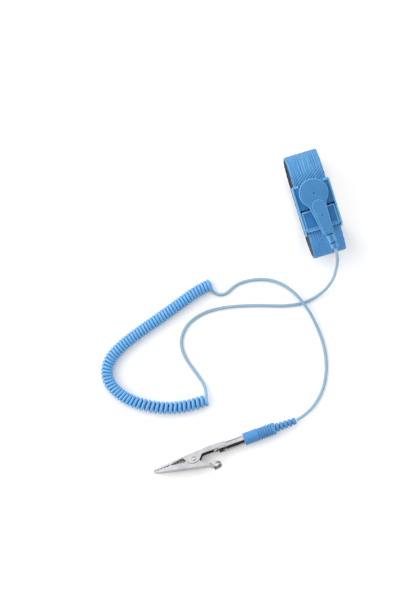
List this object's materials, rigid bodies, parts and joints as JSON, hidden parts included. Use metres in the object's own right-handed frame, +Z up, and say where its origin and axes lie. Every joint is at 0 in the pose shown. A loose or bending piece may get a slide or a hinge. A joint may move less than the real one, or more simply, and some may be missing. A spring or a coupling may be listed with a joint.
{
  "type": "esd wrist strap",
  "caption": "Grounding wrist strap: elastic band with a locking clasp, swivelling snap connector, curly cord and an alligator clip on a banana plug.",
  "frame": {"origin": "under the middle of the wristband, on the surface that it stands on", "axes": "+X along the wrist, away from the coil; +Y round the wrist across the top of the clasp, from the lever towards the snap; +Z up through the clasp"},
  "size_m": [0.1555, 0.1577, 0.0515],
  "materials": {
    "knit_elastic": "ribbed elastic knit",
    "silver_knit": "dark silver-fibre knit",
    "clasp_plastic": "moulded, satin",
    "stainless": "brushed",
    "plated_steel": "nickel plated",
    "nickel_brass": "nickel-plated brass",
    "resistor_lacquer": "lacquered",
    "copper_wire": "tinned copper",
    "moulded_vinyl": "soft satin vinyl",
    "cord_jacket": "smooth polyurethane",
    "clip_steel": "bright nickel plating"
  },
  "bodies": {
    "wristband": {"elastic_band": "knit_elastic", "conductive_lining": "silver_knit", "clasp_base": "clasp_plastic", "contact_plate": "stainless", "lever_pin": "plated_steel", "snap_stud": "nickel_brass", "stud_rivet": "plated_steel"},
    "lever": {"lock_lever": "clasp_plastic"},
    "snap_ring": {"socket_ring": "plated_steel"},
    "connector": {"snap_socket": "nickel_brass", "terminal_tab": "plated_steel", "resistor_body": "resistor_lacquer", "resistor_leads": "copper_wire", "conductor_ends": "copper_wire", "lead_crimp": "plated_steel", "connector_shell": "moulded_vinyl", "snap_strain_relief": "moulded_vinyl", "banana_pin": "nickel_brass", "plug_crimp": "plated_steel", "plug_grip": "moulded_vinyl", "plug_strain_relief": "moulded_vinyl", "cord_lead_snap": "cord_jacket", "cord_coil": "cord_jacket", "cord_lead_clip": "cord_jacket"},
    "plug_cage": {"banana_spring": "plated_steel"},
    "clip": {"clip_upper_jaw": "clip_steel", "pivot_rivet": "plated_steel", "clip_spring": "plated_steel"},
    "jaw": {"clip_lower_jaw": "clip_steel"}
  },
  "joints": [
    {"name": "lever_open", "type": "hinge", "parent": "wristband", "child": "lever", "pos_m": [0, -0.0136, 0.0435], "axis": [1, 0, 0], "range_deg": [0, 11]},
    {"name": "snap_pull", "type": "slide", "parent": "wristband", "child": "snap_ring", "axis": [0, 0, 1], "range_m": [0, 0.008]},
    {"name": "snap_swivel", "type": "hinge", "parent": "snap_ring", "child": "connector", "pos_m": [0, 0.00525, 0.046], "axis": [0, 0, 1], "continuous": true},
    {"name": "plug_turn", "type": "hinge", "parent": "connector", "child": "plug_cage", "pos_m": [-0.0767, -0.1162, 0.0037], "axis": [-0.9986, -0.0523, 0], "continuous": true},
    {"name": "clip_pull", "type": "slide", "parent": "plug_cage", "child": "clip", "axis": [-0.9986, -0.0523, 0], "range_m": [0, 0.018]},
    {"name": "jaw_open", "type": "hinge", "parent": "clip", "child": "jaw", "pos_m": [-0.10719, -0.11917, 0.0042], "axis": [-0.0179, 0.3416, 0.9397], "range_deg": [0, 20], "stiffness_Nm_per_rad": 0.1, "springref_deg": -28.65, "deforming": ["clip_spring"]}
  ]
}
